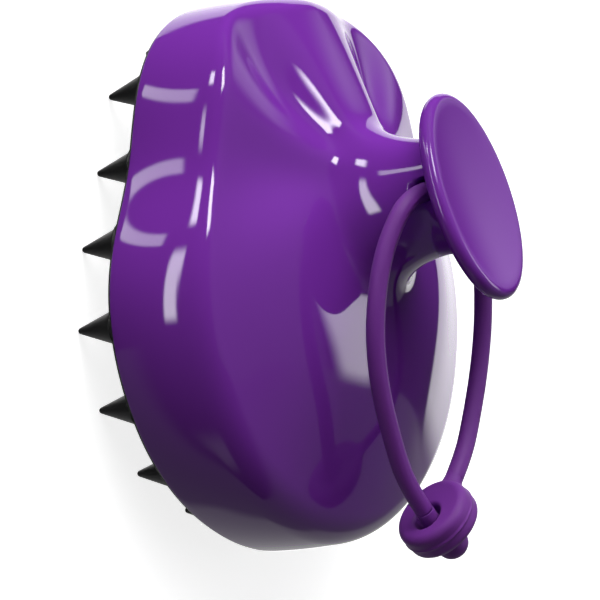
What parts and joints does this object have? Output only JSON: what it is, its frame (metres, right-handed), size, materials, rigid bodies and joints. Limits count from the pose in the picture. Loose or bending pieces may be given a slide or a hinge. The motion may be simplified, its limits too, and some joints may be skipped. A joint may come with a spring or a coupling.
{
  "type": "scalp massage brush",
  "caption": "Hand-held brush: a lobed glossy dome with an oval finger knob on a neck, soft silicone cones underneath and a moulded strap loop through the neck.",
  "frame": {"origin": "centre of the body's footprint, on the plane of the cone tips", "axes": "+Z from the cone tips up to the knob, +Y along the hand towards the fingertips, +X across the hand; the strap hangs towards -Y"},
  "size_m": [0.0746, 0.0882, 0.0539],
  "materials": {
    "gloss_shell": "polished purple moulding",
    "gloss_knob": "polished purple moulding",
    "inner_plastic": "plain moulded black",
    "screw_steel": "zinc plated",
    "black_silicone": "satin moulded silicone",
    "purple_silicone": "matte moulded silicone"
  },
  "bodies": {
    "brush": {"shell": "gloss_shell", "knob": "gloss_knob", "knob_screws": "screw_steel", "base_plate": "inner_plastic", "plate_screws": "screw_steel", "bristle_pad": "black_silicone", "pad_cones": "black_silicone"},
    "strap": {"strap_near": "purple_silicone", "strap_far": "purple_silicone", "strap_eyelet": "purple_silicone", "strap_stopper": "purple_silicone"}
  },
  "joints": [
    {"name": "strap_swing", "type": "hinge", "parent": "brush", "child": "strap", "pos_m": [0, 0.01005, 0.0444], "axis": [-1, 0, 0], "range_deg": [-3, 55]}
  ]
}
